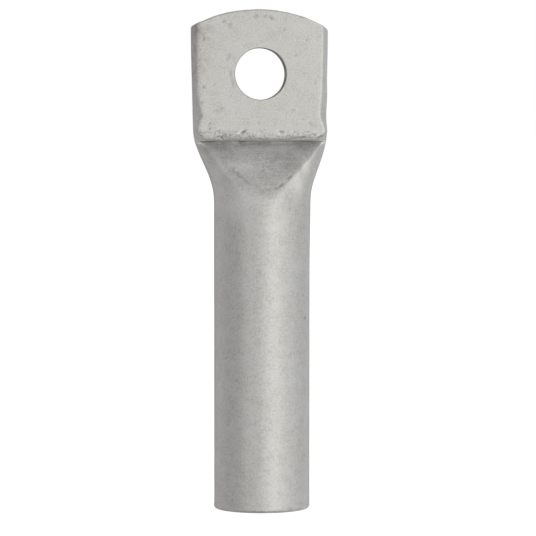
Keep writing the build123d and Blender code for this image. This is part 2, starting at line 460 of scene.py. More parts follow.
def build_palm(skin, foot):
    """The palm from the lip's top row: faces with the bolt hole, narrow sides and crown."""
    # Sections up to a little past the top, between which every row finds its place
    levels = np.linspace(LIP_TOP_Z, TOP_Z + 0.3, PALM_SECTIONS)
    sections = np.array([ring(z, 1.0, 0.3, 0.2) for z in levels])
    column = np.arange(RING)

    def place(z):
        """Points of every column, each at its own height."""
        share = (z - LIP_TOP_Z) / (levels[-1] - LIP_TOP_Z)
        spot = np.clip(share * (PALM_SECTIONS - 1), 0, PALM_SECTIONS - 1.001)
        low = spot.astype(int)
        rest = (spot - low)[:, None]
        flat = sections[low, column] * (1 - rest) + sections[low + 1, column] * rest
        return np.column_stack((flat, z))

    def at_share(share, below=0.0):
        """A row that bends with the crown as share goes from 0 at the lip to 1 at the end."""
        z = np.full(RING, LIP_TOP_Z + (TOP_Z - LIP_TOP_Z) * share)
        # The height follows from x and x from the height, so both are found in a few rounds
        for _ in range(4):
            x = place(z)[:, 0]
            z = LIP_TOP_Z + (crown_z(x) - below - LIP_TOP_Z) * share
        return place(z)

    grid = [np.array([skin.points[i] for i in foot])]
    for share in np.linspace(0, 1, PALM_ROWS + 1)[1:]:
        grid.append(at_share(share, PALM_EDGE_RADIUS))
    # The lip's waver fades out over the first rows
    fading = np.exp(-0.5 * (np.arange(PALM_ROWS + 1) / 2.0) ** 2)
    waver = grid[0][:, 2] - LIP_TOP_Z
    grid = np.array(grid)
    grid[1:, :, 2] += fading[1:, None] * waver[None, :]
    middle = int(np.argmin(np.abs(grid[:, 0, 2] - HOLE_Z)))
    low_row, high_row = middle - HOLE_BLOCK, middle + HOLE_BLOCK

    # Columns of the block round the hole, on the front and on the back
    front_block = np.arange(-HOLE_BLOCK, HOLE_BLOCK + 1) % RING
    back_block = (HALF_RING - np.arange(-HOLE_BLOCK, HOLE_BLOCK + 1)) % RING
    cells = set(front_block[:-1]) | set(back_block[1:])
    numbers = [foot]
    for row in grid[1:]:
        numbers.append(skin.add(row))
    for r in range(PALM_ROWS):
        skin.join(numbers[r], numbers[r + 1], skip=cells if low_row <= r < high_row else ())

    def block_edge(block):
        """The block's edge points, anticlockwise seen from the front."""
        edge = [numbers[low_row][c] for c in block[:-1]]
        edge += [numbers[r][block[-1]] for r in range(low_row, high_row)]
        edge += [numbers[high_row][c] for c in block[:0:-1]]
        edge += [numbers[r][block[0]] for r in range(high_row, low_row, -1)]
        return edge

    front_edge = block_edge(front_block)
    corners = np.array([skin.points[i] for i in front_edge])
    angle = np.arctan2(corners[:, 2] - HOLE_Z, corners[:, 0] - PALM_OFFSET)
    circle = np.column_stack((np.cos(angle), np.zeros(len(angle)), np.sin(angle)))
    centre = np.array((PALM_OFFSET, 0.0, HOLE_Z - HOLE_LOWER))
    circle *= 1 + HOLE_WAVER * ripple(angle, 21, 2 * np.pi, 5)[:, None]

    def hole_row(radius, y):
        return skin.add(centre + circle * radius + (0, y, 0), Skin.PUNCHED)

    def fan(edge, rim_radius, y, inward):
        """Rings from the block's edge in to the hole, whose rim is rounded by HOLE_ROLL."""
        fanned = [edge]
        start = np.array([skin.points[i] for i in edge])
        rim = centre + circle * (rim_radius + HOLE_ROLL) + (0, y, 0)
        for share in np.linspace(0, 1, HOLE_FAN_ROWS)[1:]:
            # The rows lie closer together near the hole
            near = 1 - (1 - share) ** 1.25
            fanned.append(skin.add(start + (rim - start) * near))
        for bend in np.linspace(0, np.pi / 2, HOLE_BEND_ROWS)[1:]:
            radius = rim_radius + HOLE_ROLL * (1 - math.sin(bend))
            fanned.append(hole_row(radius, y + inward * HOLE_ROLL * (1 - math.cos(bend))))
        return fanned

    # The punch leaves a straight land at the front and breaks out a little wider at the back
    front_rows = fan(front_edge, HOLE_RADIUS, PALM_FRONT, 1)
    back_rows = fan(block_edge(back_block), HOLE_RADIUS + HOLE_BREAKOUT, PALM_BACK, -1)
    seam = -PALM_FORWARD
    seam_front, seam_back = seam - SEAM_GAP / 2, seam + SEAM_GAP / 2
    wall = []
    for y in np.linspace(PALM_FRONT + HOLE_ROLL, seam_front, HOLE_FRONT_ROWS)[1:]:
        wall.append(hole_row(HOLE_RADIUS, y))
    wall.append(hole_row(HOLE_RADIUS + SEAM_DEPTH, seam))
    for share in np.linspace(0, 1, HOLE_BACK_ROWS)[:-1]:
        y = seam_back + (PALM_BACK - HOLE_ROLL - seam_back) * share
        wall.append(hole_row(HOLE_RADIUS + HOLE_BREAKOUT * share**0.7, y))
    through = front_rows + wall + back_rows[::-1]
    for low, high in zip(through, through[1:]):
        skin.join(low, high)

    # The side rows turn over the crown's edge, then a grid closes the crown
    top = at_share(1.0)
    inner = inset_row(top, PALM_EDGE_RADIUS)
    inner[:, 2] = crown_z(inner[:, 0])
    side = grid[-1]
    last = numbers[-1]
    for share in np.linspace(0, 1, CROWN_BEND_ROWS)[1:]:
        bend = (1 - share) ** 2 * side + 2 * share * (1 - share) * top + share**2 * inner
        row = skin.add(bend)
        skin.join(last, row)
        last = row
    close_crown(skin, last)


def inset_row(row, distance):
    """The row moved in towards its own inside, by that distance in plan."""
    ahead = np.roll(row, -1, axis=0) - np.roll(row, 1, axis=0)
    length = np.hypot(ahead[:, 0], ahead[:, 1])
    moved = row.copy()
    moved[:, 0] -= ahead[:, 1] / length * distance
    moved[:, 1] += ahead[:, 0] / length * distance
    return moved


def close_crown(skin, rim):
    """Fills the crown inside its rim with a grid, sunk along the seam of the flattened tube."""
    face = FACE_STEPS // 2 + CORNER_STEPS // 2
    across = HALF_RING - 2 * face
    front = [rim[c % RING] for c in range(-face, face + 1)]
    back = [rim[(HALF_RING - c) % RING] for c in range(-face, face + 1)]
    right = [rim[c] for c in range(face, face + across + 1)]
    left = [rim[(-c) % RING] for c in range(face, face + across + 1)]
    point = np.array(skin.points)
    f, b, r, l = point[front], point[back], point[right], point[left]
    u = np.linspace(0, 1, len(front))[:, None]
    rows = [front]
    for k in range(1, across):
        v = k / across
        plain = f * (1 - v) + b * v + l[k] * (1 - u) + r[k] * u
        corner = (f[0] * (1 - u) + f[-1] * u) * (1 - v) + (b[0] * (1 - u) + b[-1] * u) * v
        row = plain - corner
        row[:, 2] = crown_z(row[:, 0])
        if k == across // 2:
            reach = np.abs(row[:, 0] - PALM_OFFSET) < SEAM_HALF_WIDTH
            row[reach, 2] -= SEAM_DEPTH
        rows.append([left[k]] + skin.add(row[1:-1], Skin.PUNCHED) + [right[k]])
    rows.append(back)
    for low, high in zip(rows, rows[1:]):
        skin.join(low, high, closed=False)


# Marks on the front, in millimetres: x, z, length, width, turn in degrees, depth, dirt.
# A depth below zero is metal that stands up, and one of zero is a dull streak.
MARKS = (
    # Burrs, gouges and scrapes along the lip
    (-9.6, 62.80, 2.2, 0.18, 0, 0.05, 0.45),
    (-6.4, 62.86, 2.6, 0.16, 2, 0.05, 0.45),
    (-4.15, 62.55, 0.9, 0.42, 16, -0.17, 0.0),
    (-3.35, 62.78, 1.05, 0.36, 22, 0.15, 0.9),
    (-3.35, 62.35, 0.6, 0.18, 40, 0.06, 0.45),
    (-7.5, 62.0, 0.6, 0.3, 60, 0.09, 0.75),
    (-6.6, 62.35, 0.55, 0.28, 10, 0.08, 0.65),
    (-7.4, 62.95, 0.7, 0.2, 5, 0.05, 0.6),
    (-6.9, 61.85, 0.7, 0.26, -35, 0.08, 0.75),
    (-6.3, 62.15, 0.6, 0.24, 20, 0.06, 0.6),
    (-7.6, 62.3, 0.45, 0.2, -20, -0.05, 0.0),
    (-8.7, 62.2, 0.5, 0.16, 15, 0.04, 0.4),
    (-2.2, 62.0, 0.5, 0.18, -30, 0.04, 0.35),
    (-1.4, 62.6, 0.6, 0.18, 10, -0.06, 0.0),
    (-0.6, 62.9, 0.5, 0.2, 0, 0.04, 0.4),
    (0.9, 62.2, 0.5, 0.16, 35, 0.04, 0.35),
    (1.8, 62.7, 0.8, 0.18, -5, -0.05, 0.0),
    (2.95, 62.8, 0.65, 0.4, 15, 0.12, 0.85),
    (3.95, 62.35, 0.5, 0.3, 0, -0.1, 0.0),
    (3.9, 62.2, 0.5, 0.18, -50, 0.04, 0.4),
    (4.6, 62.75, 0.9, 0.22, -12, -0.06, 0.0),
    (5.2, 62.86, 0.6, 0.18, 0, 0.05, 0.45),
    (6.9, 62.84, 0.7, 0.2, 5, 0.06, 0.55),
    (7.7, 62.3, 0.5, 0.2, 30, 0.05, 0.5),
    (8.6, 62.75, 0.9, 0.2, -6, -0.05, 0.0),
    (6.0, 61.8, 3.2, 0.28, 5, 0.07, 0.65),
    (9.45, 62.0, 1.0, 0.35, 12, 0.06, 0.7),
    # Pits at the palm's lower left corner
    (-8.9, 64.2, 0.35, 0.25, 0, 0.06, 0.7),
    (-8.95, 63.3, 0.4, 0.25, 80, 0.07, 0.8),
    (-9.1, 63.75, 0.3, 0.2, 0, 0.05, 0.5),
    (-10.3, 65.4, 0.6, 0.35, 90, 0.04, 0.6),
    (7.9, 64.0, 1.1, 0.2, -35, 0.03, 0.4),
    # Smudges near the crown
    (-1.3, 81.75, 0.9, 0.6, 15, 0.03, 0.45),
    (0.3, 81.85, 0.8, 0.4, 20, 0.03, 0.4),
    (1.2, 81.55, 1.0, 0.55, -20, 0.03, 0.5),
    (-6.6, 80.95, 0.5, 0.35, 0, 0.04, 0.5),
    (-5.6, 80.3, 0.9, 0.6, 45, 0.03, 0.3),
    (6.2, 81.75, 0.8, 0.25, -18, 0.04, 0.6),
    # Scuffs left of the hole and on the face
    (-5.5, 72.4, 1.0, 0.4, 85, 0.03, 0.4),
    (-5.8, 75.1, 1.3, 0.4, 60, 0.03, 0.35),
    (-5.1, 70.9, 1.6, 0.35, 100, 0.02, 0.3),
    (7.2, 78.0, 0.4, 0.3, 0, 0.04, 0.4),
    (5.3, 75.3, 0.35, 0.25, 0, 0.04, 0.4),
    (5.6, 74.1, 0.35, 0.3, 0, 0.04, 0.4),
    (-8.2, 70.6, 0.4, 0.3, 30, 0.04, 0.4),
    (-9.6, 74.6, 0.35, 0.3, 0, 0.04, 0.45),
    (-7.6, 66.2, 1.6, 0.25, 3, 0.02, 0.3),
    (-2.6, 68.4, 0.5, 0.3, 0, 0.03, 0.3),
    (-7.0, 66.75, 1.3, 0.14, -2, 0.02, 0.4),
    (-4.6, 65.9, 0.3, 0.25, 0, 0.04, 0.4),
    (1.6, 65.2, 2.2, 0.14, 8, -0.02, 0.0),
    (4.9, 66.3, 0.4, 0.3, 20, 0.04, 0.4),
    (7.4, 67.6, 1.2, 0.14, 70, -0.02, 0.0),
    (-0.8, 64.3, 0.4, 0.25, 40, 0.04, 0.35),
    (6.6, 64.9, 0.35, 0.25, 0, 0.04, 0.45),
    (8.6, 70.8, 0.3, 0.3, 0, 0.04, 0.4),
    (-3.2, 78.9, 1.1, 0.14, 35, -0.02, 0.0),
    (3.4, 79.6, 0.4, 0.3, 0, 0.03, 0.35),
    (-9.9, 70.2, 0.5, 0.4, 90, 0.05, 0.5),
    (-9.9, 78.1, 0.6, 0.4, 90, 0.05, 0.5),
    (-10.2, 67.6, 0.5, 0.3, 90, 0.04, 0.5),
    # Specks on the barrel and a nick at its mouth
    (6.87, 32.1, 0.45, 0.38, 0, 0.03, 0.6),
    (6.5, 36.0, 0.5, 0.3, 90, 0.02, 0.35),
    (5.2, 44.5, 0.35, 0.3, 0, 0.02, 0.35),
    (-6.3, 25.5, 0.4, 0.3, 0, 0.02, 0.3),
    (4.3, 0.5, 0.5, 0.35, 0, 0.04, 0.45),
    # Fold lines where the V was pressed in; the first, a dull streak along the left fold's edge, is
    # painted shade over that edge's highlight
    (-6.1, 56.9, 9.2, 1.1, -51, 0.0, 0.24),
    (-4.9, 56.4, 1.6, 0.75, -46, 0.05, 0.38),
    (-4.1, 55.65, 1.5, 0.6, -42, 0.05, 0.42),
    (-3.2, 54.8, 1.4, 0.5, -40, 0.04, 0.36),
    (4.2, 55.35, 1.0, 0.35, 52, 0.05, 0.5),
    (3.5, 54.6, 0.9, 0.3, 44, 0.015, 0.18),
    (2.7, 54.1, 0.9, 0.34, 35, 0.05, 0.5),
    (1.95, 53.6, 0.6, 0.35, 60, 0.04, 0.55),
)

# Painted shade along the crease and on the facets under the lip's overhang, then dirt on the palm's upper
# left narrow side: x, z, half length, half height, darkness
SHADE_AND_DIRT = (
    (0.0, 61.17, 11.5, 0.07, 0.2),
    (-9.2, 61.2, 1.6, 0.12, 0.45),
    (-3.4, 61.24, 0.6, 0.14, 0.5),
    (-3.3, 60.6, 0.6, 0.25, 0.35),
    (7.3, 61.2, 1.6, 0.12, 0.45),
    (-7.6, 60.1, 2.6, 0.8, 0.42),
    (4.6, 58.0, 2.0, 2.0, 0.27),
    (-6.7, 59.2, 1.9, 1.3, 0.3),
    (3.4, 59.2, 2.4, 1.4, 0.25),
    (6.4, 60.2, 1.8, 1.4, 0.36),
    (0.0, 60.2, 9.0, 1.1, 0.16),
    (-11.9, 77.0, 0.35, 6.0, 0.35),
    (-11.3, 80.3, 0.9, 1.3, 0.3),
    (-11.2, 78.4, 0.5, 1.6, 0.2),
    (-10.6, 79.6, 0.8, 0.7, 0.15),
)

# Blotchy brown tarnish on the narrow side and at the palm's upper left corner:
# x, z, half length, half height, strength
TARNISH = (
    (-11.9, 75.0, 1.0, 9.0, 0.75),
    (-11.2, 80.2, 1.2, 1.7, 0.85),
    (-9.9, 79.2, 1.5, 2.2, 0.4),
    (-10.4, 74.4, 0.9, 2.6, 0.3),
)

# Painted highlights and lighter shading on the facets, the cheeks beside them and the palm's right half:
# x, z, half length, half height, brightness
PAINTED_HIGHLIGHTS = (
    (-3.2, 57.0, 2.2, 0.9, 0.32),
    (-7.2, 56.6, 1.4, 1.5, 0.2),
    (6.9, 57.0, 0.8, 1.5, 0.35),
    (-2.4, 55.7, 1.5, 0.6, 0.14),
    (-4.7, 51.0, 2.0, 2.6, 0.32),
    (-6.2, 53.0, 1.2, 1.6, 0.21),
    (5.7, 54.0, 1.0, 2.0, 0.4),
    (8.0, 71.5, 5.0, 8.5, 0.045),
)


def make_mesh(name, skin):
    """A mesh object in metres, with outward normals and smooth shading."""
    mesh = bpy.data.meshes.new(name)
    mesh.from_pydata([(x * MM, y * MM, z * MM) for x, y, z in skin.points], [], skin.faces)
    shape = bmesh.new()
    shape.from_mesh(mesh)
    bmesh.ops.recalc_face_normals(shape, faces=shape.faces)
    shape.to_mesh(mesh)
    shape.free()
    for polygon in mesh.polygons:
        polygon.use_smooth = True
    body = bpy.data.objects.new(name, mesh)
    bpy.context.scene.collection.objects.link(body)
    return body


def read_points(mesh):
    """A mesh's points in millimetres, and its normals."""
    points = np.empty(len(mesh.vertices) * 3)
    mesh.vertices.foreach_get("co", points)
    normals = np.empty(len(mesh.vertices) * 3)
    mesh.vertices.foreach_get("normal", normals)
    return points.reshape(-1, 3) / MM, normals.reshape(-1, 3)


def bend_of_surface(mesh, points, normals):
    """How sharply the surface bends at each point, per millimetre: over an edge, and in a hollow."""
    ends = np.empty(len(mesh.edges) * 2, dtype=int)
    mesh.edges.foreach_get("vertices", ends)
    a, b = ends.reshape(-1, 2).T
    step = points[b] - points[a]
    bend = ((normals[b] - normals[a]) * step).sum(axis=1) / np.maximum((step**2).sum(axis=1), 1e-4)
    over = np.zeros(len(points))
    hollow = np.zeros(len(points))
    for end in (a, b):
        np.maximum.at(over, end, bend)
        np.maximum.at(hollow, end, -bend)
    # Averaged twice with their neighbours, so that single points don't stand out
    for _ in range(2):
        for values in (over, hollow):
            total, count = values.copy(), np.ones(len(points))
            np.add.at(total, a, values[b])
            np.add.at(total, b, values[a])
            np.add.at(count, a, 1)
            np.add.at(count, b, 1)
            values[:] = total / count
    return over, hollow


def press_marks(points, normals):
    """Presses the marks into the front and returns dirt with painted shade, and wear with painted
    highlights.
    """
    x, z = points[:, 0].copy(), points[:, 2].copy()
    front = eased((-normals[:, 1] - 0.2) / 0.3)
    dirt_and_shade = np.zeros(len(points))
    wear_and_painted_light = np.zeros(len(points))
    for mark_x, mark_z, length, width, turn, depth, dark in MARKS:
        c, s = math.cos(math.radians(turn)), math.sin(math.radians(turn))
        along = (x - mark_x) * c + (z - mark_z) * s
        across = (z - mark_z) * c - (x - mark_x) * s
        across = across + 0.25 * width * ripple(along, int(abs(mark_x) * 100), 1.1, 4)
        near = np.exp(-((2 * along / length) ** 4) - (2 * across / width) ** 2) * front
        points -= normals * (near * depth)[:, None]
        dirt_and_shade = np.maximum(dirt_and_shade, near * dark)
        if depth < 0:
            wear_and_painted_light = np.maximum(wear_and_painted_light, near * min(0.6, -4 * depth))
    facing = eased((-normals[:, 1] + 0.9) / 0.4)
    for shade_and_dirt_x, shade_and_dirt_z, half_length, half_height, dark in SHADE_AND_DIRT:
        near = np.exp(-(((x - shade_and_dirt_x) / half_length) ** 4)) * bell(z, shade_and_dirt_z, half_height)
        dirt_and_shade = np.maximum(dirt_and_shade, near * dark * facing)
    for highlight_x, highlight_z, half_length, half_height, bright in PAINTED_HIGHLIGHTS:
        near = bell(x, highlight_x, half_length) * bell(z, highlight_z, half_height)
        wear_and_painted_light = np.maximum(wear_and_painted_light, near * bright * front)
    # Painted highlight along the foot of the lip, just under and just over the crease, which lightens the
    # shade there
    under = 0.78 * bell(z, CREASE_Z - 0.24, 0.24) * front
    over = 0.8 * bell(z, CREASE_Z + 0.06, 0.06) * on_front(points[:, 1])
    wear_and_painted_light = np.maximum(wear_and_painted_light, np.where(z < CREASE_Z, under, over))
    # Darker along the crown's rim, and painted shade on the mouth's rounded rim
    crown_rim = bell(z, crown_z(x) - 0.08, 0.16) * front * eased((7.6 - x) / 1.5)
    crown_rim *= 0.42 + 0.13 * ripple(x, 31, 5.0)
    mouth_rim_shade = bell(z, 0.14, 0.17) * (0.25 + 0.25 * eased((1.0 - x) / 3.0))
    mouth_rim_shade *= np.hypot(x, points[:, 1]) > BARREL_RADIUS - MOUTH_OUTER_RADIUS
    return np.maximum(dirt_and_shade, np.maximum(crown_rim, mouth_rim_shade)), wear_and_painted_light


def tarnish_on(points):
    """The brown tarnish, which fades round the narrow side and leaves the back clean."""
    x, y, z = points.T
    tarnish = np.zeros(len(points))
    for patch_x, patch_z, half_length, half_height, strength in TARNISH:
        near = bell(x, patch_x, half_length) * np.exp(-(((z - patch_z) / half_height) ** 4))
        tarnish = np.maximum(tarnish, strength * near)
    return tarnish * eased((-y - 0.2) / 3.2)


def scuffed_on(points, normals):
    """Where burrs and scrapes lie close together: on the lip, the left side and the facet."""
    x, y, z = points.T
    lip = np.exp(-(((z - CREASE_Z - 1.05) / 0.75) ** 4)) * eased((-normals[:, 1] - 0.3) / 0.3)
    strip = 0.45 * bell(x, -10.9, 0.9) * eased((z - CREASE_Z) / 2.0)
    facet = 0.42 * eased((normals[:, 2] - 0.3) / 0.12) * (z < CREASE_Z) * (y < -2.0)
    return np.maximum(np.maximum(lip, strip), facet)


def write_attribute(mesh, name, values):
    made = mesh.attributes.new(name, "FLOAT", "POINT")
    made.data.foreach_set("value", np.asarray(values, dtype=np.float32))


def finish_skin(body, kinds):
    """Presses the marks in and stores what the relief and the material read at each point."""
    mesh = body.data
    points, normals = read_points(mesh)
    dirt_and_shade, wear_and_painted_light = press_marks(points, normals)
    mesh.vertices.foreach_set("co", (points * MM).ravel())
    mesh.update()
    points, normals = read_points(mesh)
    over, hollow = bend_of_surface(mesh, points, normals)
    kinds = np.array(kinds)
    outside = kinds == Skin.OUTSIDE
    from_centre = np.hypot(points[:, 0] - PALM_OFFSET, points[:, 2] - HOLE_Z + HOLE_LOWER)
    from_hole = from_centre - HOLE_RADIUS
    in_hole = from_hole < 0.6
    # Dirt lies in the marks. Painted shade darkens the hollows, the hole's wall and the rim round it; the
    # bore is a little darker throughout
    hole_wall_shade = (0.85 + 0.15 * bell(points[:, 1], -PALM_FORWARD, 0.1)) * in_hole
    dirt_and_painted_shade = dirt_and_shade + 0.1 * eased((hollow - 0.4) / 2.0) * outside
    dirt_and_painted_shade = np.maximum(dirt_and_painted_shade, hole_wall_shade * (kinds == Skin.PUNCHED))
    dirt_and_painted_shade = np.maximum(dirt_and_painted_shade, 0.8 * bell(from_hole, 0.05, 0.08))
    dirt_and_painted_shade = np.maximum(dirt_and_painted_shade, 0.25 * (kinds == Skin.BORE))
    write_attribute(mesh, "dirt_and_painted_shade", np.clip(dirt_and_painted_shade, 0, 1))
    write_attribute(mesh, "wear", eased((over - 1.0) / 2.2) * outside)
    write_attribute(mesh, "wear_and_painted_light", wear_and_painted_light)
    write_attribute(mesh, "tarnish", tarnish_on(points))
    write_attribute(mesh, "scuffed", scuffed_on(points, normals))
    write_attribute(mesh, "sawn", kinds == Skin.SAWN)
    write_attribute(mesh, "relief", outside & ~in_hole)


def linear(hex_colour):
    """An sRGB hex colour as linear red, green, blue and alpha."""
    values = [int(hex_colour[i : i + 2], 16) / 255 for i in (1, 3, 5)]
    return tuple(v / 12.92 if v <= 0.04045 else ((v + 0.055) / 1.055) ** 2.4 for v in values) + (1.0,)


def node(tree, kind, inputs=None, **settings):
    """Adds a node with its settings. Each input gets a value, or a link from a node or socket."""
    made = tree.nodes.new(kind)
    for name, value in settings.items():
        setattr(made, name, value)
    for key, value in (inputs or {}).items():
        if isinstance(value, bpy.types.Node):
            value = value.outputs[0]
        if isinstance(value, bpy.types.NodeSocket):
            tree.links.new(value, made.inputs[key])
        else:
            made.inputs[key].default_value = value
    return made


def relief_tree(material):
    """Geometry Nodes: low swells and scattered pits over the skin, along its normals."""
    tree = bpy.data.node_groups.new("tumbled_relief", "GeometryNodeTree")
    tree.interface.new_socket("Geometry", in_out="OUTPUT", socket_type="NodeSocketGeometry")
    tree.interface.new_socket("Geometry", in_out="INPUT", socket_type="NodeSocketGeometry")
    for name in ("Swell Size", "Swell Depth", "Pit Spacing", "Pit Radius", "Pit Depth", "Seed"):
        tree.interface.new_socket(name, in_out="INPUT", socket_type="NodeSocketFloat")
    given = node(tree, "NodeGroupInput").outputs
    place = node(tree, "GeometryNodeInputPosition")
    normal = node(tree, "GeometryNodeInputNormal")
    mask = node(tree, "GeometryNodeInputNamedAttribute", {"Name": "relief"}, data_type="FLOAT")

    # Swells, up and down from the surface
    per_metre = node(tree, "ShaderNodeMath", {0: 1.0, 1: given["Swell Size"]}, operation="DIVIDE")
    swell = node(
        tree, "ShaderNodeTexNoise",
        {"Vector": place, "Scale": per_metre, "W": given["Seed"], "Detail": 2.0}, noise_dimensions="4D",
    )
    swell = node(tree, "ShaderNodeMath", {0: swell, 1: 0.5}, operation="SUBTRACT")
    swell = node(tree, "ShaderNodeMath", {0: swell, 1: given["Swell Depth"]}, operation="MULTIPLY")
    swell = node(tree, "ShaderNodeMath", {0: swell, 1: mask}, operation="MULTIPLY")

    # Pits, one in each chosen cell, each of its own width
    per_metre = node(tree, "ShaderNodeMath", {0: 1.0, 1: given["Pit Spacing"]}, operation="DIVIDE")
    cells = node(
        tree, "ShaderNodeTexVoronoi",
        {"Vector": place, "Scale": per_metre, "W": given["Seed"]}, voronoi_dimensions="4D",
    )
    chance = node(tree, "FunctionNodeSeparateColor", {0: cells.outputs["Color"]}).outputs
    chosen = node(tree, "ShaderNodeMath", {0: chance[0], 1: 0.55}, operation="GREATER_THAN")
    edge = node(
        tree, "ShaderNodeMath", {0: given["Pit Radius"], 1: given["Pit Spacing"]}, operation="DIVIDE"
    )
    edge = node(tree, "ShaderNodeMath", {0: edge, 1: chance[1]}, operation="MULTIPLY")
    pit = node(
        tree, "ShaderNodeMapRange",
        {"Value": cells, "From Min": 0.0, "From Max": edge, "To Min": 1.0, "To Max": 0.0},
        interpolation_type="SMOOTHSTEP",
    )
    pit = node(tree, "ShaderNodeMath", {0: pit, 1: chosen}, operation="MULTIPLY")
    pit = node(tree, "ShaderNodeMath", {0: pit, 1: mask}, operation="MULTIPLY")
    sunk = node(tree, "ShaderNodeMath", {0: pit, 1: given["Pit Depth"]}, operation="MULTIPLY")

    height = node(tree, "ShaderNodeMath", {0: swell, 1: sunk}, operation="SUBTRACT")
    offset = node(tree, "ShaderNodeVectorMath", {0: normal, "Scale": height}, operation="SCALE")
    stored = node(
        tree, "GeometryNodeStoreNamedAttribute",
        {"Geometry": given["Geometry"], "Name": "pit", "Value": pit}, data_type="FLOAT", domain="POINT",
    )
    moved = node(tree, "GeometryNodeSetPosition", {"Geometry": stored, "Offset": offset})
    real = node(tree, "GeometryNodeRealizeInstances", {"Geometry": moved})
    dressed = node(tree, "GeometryNodeSetMaterial", {"Geometry": real, "Material": material})
    node(tree, "NodeGroupOutput", {"Geometry": dressed})
    return tree


def apply_tree(body, tree, values):
    """Runs a Geometry Nodes tree on a body and keeps the result as its plain mesh."""
    modifier = body.modifiers.new(tree.name, "NODES")
    modifier.node_group = tree
    for item in tree.interface.items_tree:
        if item.name in values:
            modifier[item.identifier] = values[item.name]
    shown = body.evaluated_get(bpy.context.evaluated_depsgraph_get())
    result = bpy.data.meshes.new_from_object(shown)
    body.modifiers.remove(modifier)
    body.data = result
    result.name = body.name


def empty_material(name):
    """A new material and its node tree, with nothing in it yet."""
    made = bpy.data.materials.new(name)
    made.use_nodes = True
    made.node_tree.nodes.clear()
    return made, made.node_tree


